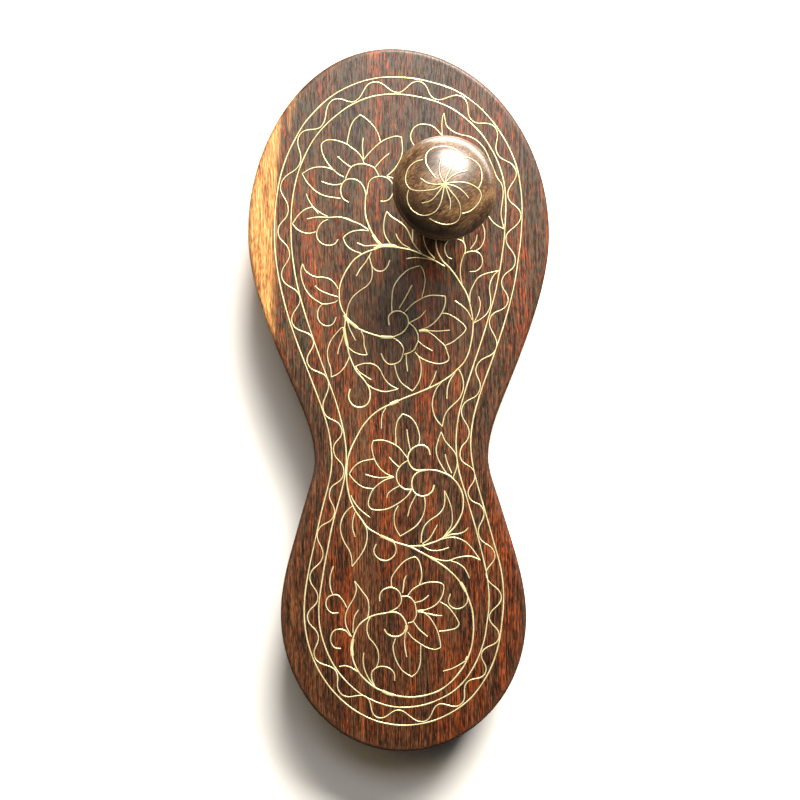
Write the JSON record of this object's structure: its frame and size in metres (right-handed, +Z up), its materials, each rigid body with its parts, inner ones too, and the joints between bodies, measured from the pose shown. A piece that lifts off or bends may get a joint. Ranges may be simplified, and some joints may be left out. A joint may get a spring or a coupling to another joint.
{
  "type": "paduka toe knob sandal",
  "caption": "Carved wooden sole on two blocks with an arch between, held on by a turned toe knob; brass wire inlay on the footbed.",
  "frame": {"origin": "middle of the whole shoe's box, on the floor that the sole rests on", "axes": "+Y from the heel to the toe, +Z up, +X towards the inner side of a left foot"},
  "size_m": [0.1088, 0.254, 0.0838],
  "materials": {
    "sole_wood": "satin waxed",
    "knob_wood": "polished",
    "brass_wire": "filed and polished"
  },
  "bodies": {
    "root": {"sole": "sole_wood", "toe_knob": "knob_wood", "border_wire_outer": "brass_wire", "border_wire_inner": "brass_wire", "border_wire_wave": "brass_wire"}
  },
  "joints": []
}
